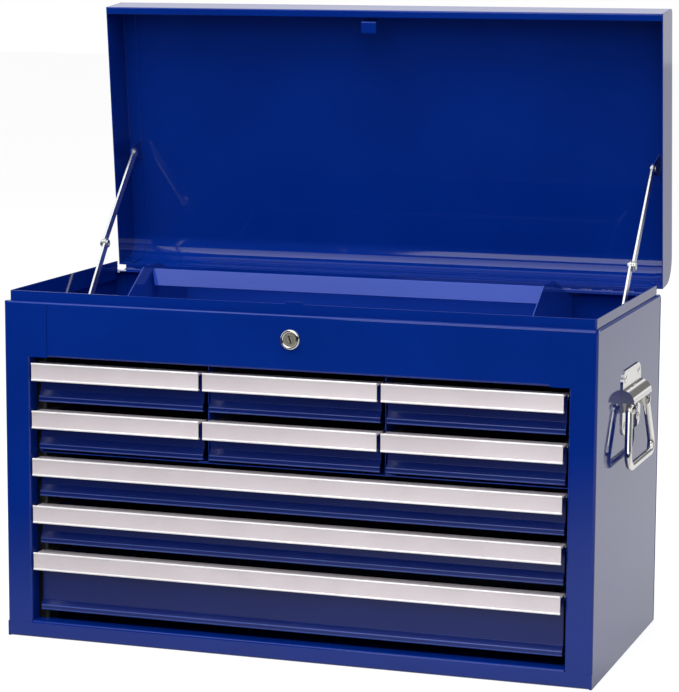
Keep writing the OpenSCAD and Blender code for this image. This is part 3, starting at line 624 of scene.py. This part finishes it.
def makeFloor():
    material, maker = newMaterial("paleFloor")
    camera, glossy, through = rayKinds(maker)
    x, y, _ = maker.split(maker.objectPoint())
    inFront = maker.ramp(y * -1.0, *studio["frontSpan"])
    dim = maker.ramp((y + x * studio["leftShare"]) * -1.0, studio["brightTo"], studio["dimFrom"])
    near = maker.ramp(y * -1.0, *studio["nearSpan"]) * studio["nearDim"]
    kept = (1 - dim * inFront * glossy * studio["dimmest"]) * (1 - near * glossy)
    strength = (camera + through) * studio["floorWhite"] + glossy * kept * studio["floorShine"]
    glow = maker.add("ShaderNodeEmission", {}, {"Color": (1, 1, 1, 1), "Strength": strength})
    matte = maker.add("ShaderNodeBsdfDiffuse", {}, {
        "Color": maker.blend(kept, (0, 0, 0, 1), (studio["floorAlbedo"],) * 3 + (1,))})
    both = maker.add("ShaderNodeAddShader", {}, [glow, matte])
    maker.node("ShaderNodeOutputMaterial", {}, {"Surface": both})
    half = studio["floorSize"] / 2
    mesh = bpy.data.meshes.new("floor")
    corners = [(-half, -half, 0), (half, -half, 0), (half, half, 0), (-half, half, 0)]
    mesh.from_pydata(corners, [], [(0, 1, 2, 3)])
    mesh.materials.append(material)
    floor = bpy.data.objects.new("floor", mesh)
    floor.location.z = -studio["floorDrop"]
    bpy.context.scene.collection.objects.link(floor)


def makeWorld():
    world = bpy.data.worlds.new("studio")
    bpy.context.scene.world = world
    world.use_nodes = True
    world.node_tree.nodes.clear()
    maker = Maker(world.node_tree)
    camera, glossy, through = rayKinds(maker)
    x, y, z = maker.split(maker.add("ShaderNodeTexCoord", out="Generated"))
    front = maker.ramp(y * -1.0, *studio["wallSpan"])
    # a dark card low on the right puts bands on the chrome
    card = maker.ramp(x, *studio["cardSide"]) * maker.ramp(z, *studio["cardLow"])
    card = card * (1 - maker.ramp(z, *studio["cardHigh"])) * studio["cardDark"]
    shown = camera + through + glossy * (1 - front * studio["dimmest"]) * (1 - card)
    soft = (1 - camera) * (1 - glossy) * (1 - through)
    strength = shown + soft * studio["soft"]
    glow = maker.add("ShaderNodeBackground", {}, {"Color": (1, 1, 1, 1), "Strength": strength})
    maker.node("ShaderNodeOutputWorld", {}, {"Surface": glow})


def makeLamp(name, place, size, power, mirrored=True):
    light = bpy.data.lights.new(name, "AREA")
    light.shape, light.size, light.size_y = "RECTANGLE", size[0], size[1]
    light.energy = power
    lamp = bpy.data.objects.new(name, light)
    lamp.location = place
    lamp.rotation_euler = (Vector(studio["aim"]) - Vector(place)).to_track_quat("-Z", "Y").to_euler()
    lamp.visible_glossy = mirrored
    bpy.context.scene.collection.objects.link(lamp)


makeFloor()
makeWorld()
makeLamp("overheadSoftbox", studio["overheadPlace"], studio["overheadSize"], studio["overheadPower"],
         mirrored=False)
makeLamp("mirroredSoftbox", studio["mirroredPlace"], studio["overheadSize"], studio["mirroredPower"])
makeLamp("frontFill", studio["fillPlace"], studio["fillSize"], studio["fillPower"])
print("studio set")


# the camera stands where the photograph's corners put it
view = {"place": (0.91946, -2.71631, 0.75052), "yaw": 0.3253, "pitch": 0.1494, "roll": 0.0047,
        "focalPixels": 2627.98, "longSide": 692, "sensor": 36}
yaw, pitch, roll = view["yaw"], view["pitch"], view["roll"]
ahead = Vector((-math.sin(yaw) * math.cos(pitch), math.cos(yaw) * math.cos(pitch), -math.sin(pitch)))
level = Vector((math.cos(yaw), math.sin(yaw), 0))
upright = level.cross(ahead)
right = level * math.cos(roll) + upright * math.sin(roll)
above = upright * math.cos(roll) - level * math.sin(roll)
lens = bpy.data.cameras.new("photoCamera")
lens.sensor_fit, lens.sensor_width = "AUTO", view["sensor"]
lens.lens = view["focalPixels"] * lens.sensor_width / view["longSide"]
camera = bpy.data.objects.new("photoCamera", lens)
turned = Matrix((right, above, -ahead)).transposed().to_4x4()
camera.matrix_world = Matrix.Translation(view["place"]) @ turned
bpy.context.scene.collection.objects.link(camera)
bpy.context.scene.camera = camera
bpy.context.scene.view_settings.view_transform = "Standard"
print("camera placed, lens", round(lens.lens, 2))

bpy.context.view_layer.update()
